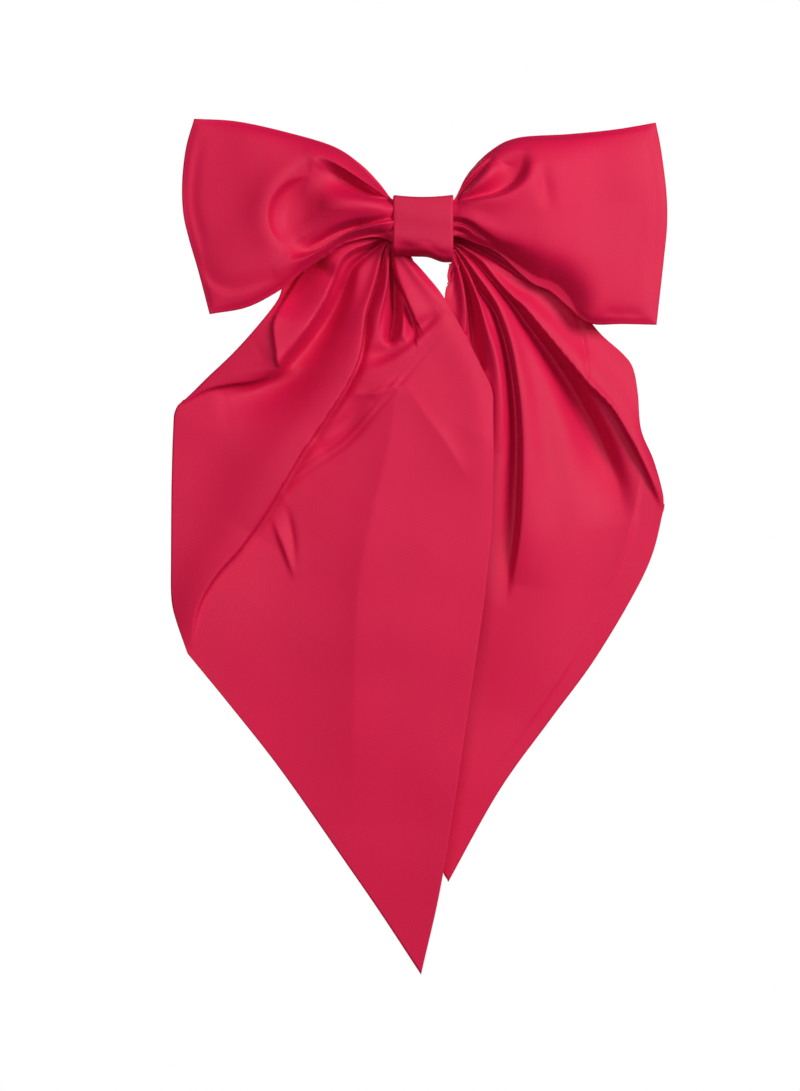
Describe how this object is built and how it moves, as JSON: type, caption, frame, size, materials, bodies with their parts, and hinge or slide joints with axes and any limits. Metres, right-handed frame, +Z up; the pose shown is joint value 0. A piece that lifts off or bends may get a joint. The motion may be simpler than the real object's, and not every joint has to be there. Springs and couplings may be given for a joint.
{
  "type": "hair bow barrette",
  "caption": "Oversized satin hair bow with puffed loops and long diagonal-cut tails, gathered by a wrapped band and mounted on a sprung metal barrette.",
  "frame": {"origin": "middle of the gap that grips the hair, between the tension bar and the clasp arm, level with the centre of the knot", "axes": "+Z up as the bow is worn, -Y the way the bow faces, +Y towards the head, X along the barrette"},
  "size_m": [0.207, 0.0396, 0.351],
  "materials": {
    "satin": "soft satin, lustrous",
    "thread": "matt sewing thread",
    "glue": "cloudy hot-melt",
    "steel": "bright nickel plate"
  },
  "bodies": {
    "bow": {"bow_panel": "satin", "tail_gather": "satin", "knot_band": "satin", "band_stitches": "thread", "gather_thread": "thread", "glue_pad": "glue", "backing_plate": "steel", "hinge_pin": "steel", "catch_base": "steel", "catch_rivet": "steel"},
    "clasp": {"clasp_arm": "steel"},
    "spring_bar": {"tension_bar": "steel"},
    "prong_a": {"catch_prong_upper": "steel"},
    "prong_b": {"catch_prong_lower": "steel"},
    "left_tail": {"tail_left": "satin"},
    "right_tail": {"tail_right": "satin"}
  },
  "joints": [
    {"name": "clasp_hinge", "type": "hinge", "parent": "bow", "child": "clasp", "pos_m": [-0.036, 0.0032, 0], "axis": [0, 0, 1], "range_deg": [0, 75]},
    {"name": "tension_bar_hinge", "type": "hinge", "parent": "bow", "child": "spring_bar", "pos_m": [-0.036, 0.0032, 0], "axis": [0, 0, 1], "range_deg": [0, 6]},
    {"name": "prong_upper_flex", "type": "hinge", "parent": "bow", "child": "prong_a", "pos_m": [0.03576, -0.00016, 0.0018], "axis": [-0.9708, -0.24, 0], "range_deg": [0, 6], "stiffness_Nm_per_rad": 0.02},
    {"name": "prong_lower_flex", "type": "hinge", "parent": "bow", "child": "prong_b", "pos_m": [0.03576, -0.00016, -0.0018], "axis": [-0.9708, -0.24, 0], "range_deg": [-6, 0], "stiffness_Nm_per_rad": 0.02},
    {"name": "tail_left_sway", "type": "hinge", "parent": "bow", "child": "left_tail", "pos_m": [-0.014, -0.01191, -0.0029], "axis": [0, 1, 0], "range_deg": [-4, 4], "stiffness_Nm_per_rad": 0.05},
    {"name": "tail_right_sway", "type": "hinge", "parent": "bow", "child": "right_tail", "pos_m": [0.014, -0.01191, -0.0029], "axis": [0, 1, 0], "range_deg": [-4, 4], "stiffness_Nm_per_rad": 0.05}
  ],
  "couplings": [
    {"joint": "tension_bar_hinge", "follows": "clasp_hinge", "ratio": 0.08},
    {"joint": "prong_lower_flex", "follows": "prong_upper_flex", "ratio": -1}
  ]
}
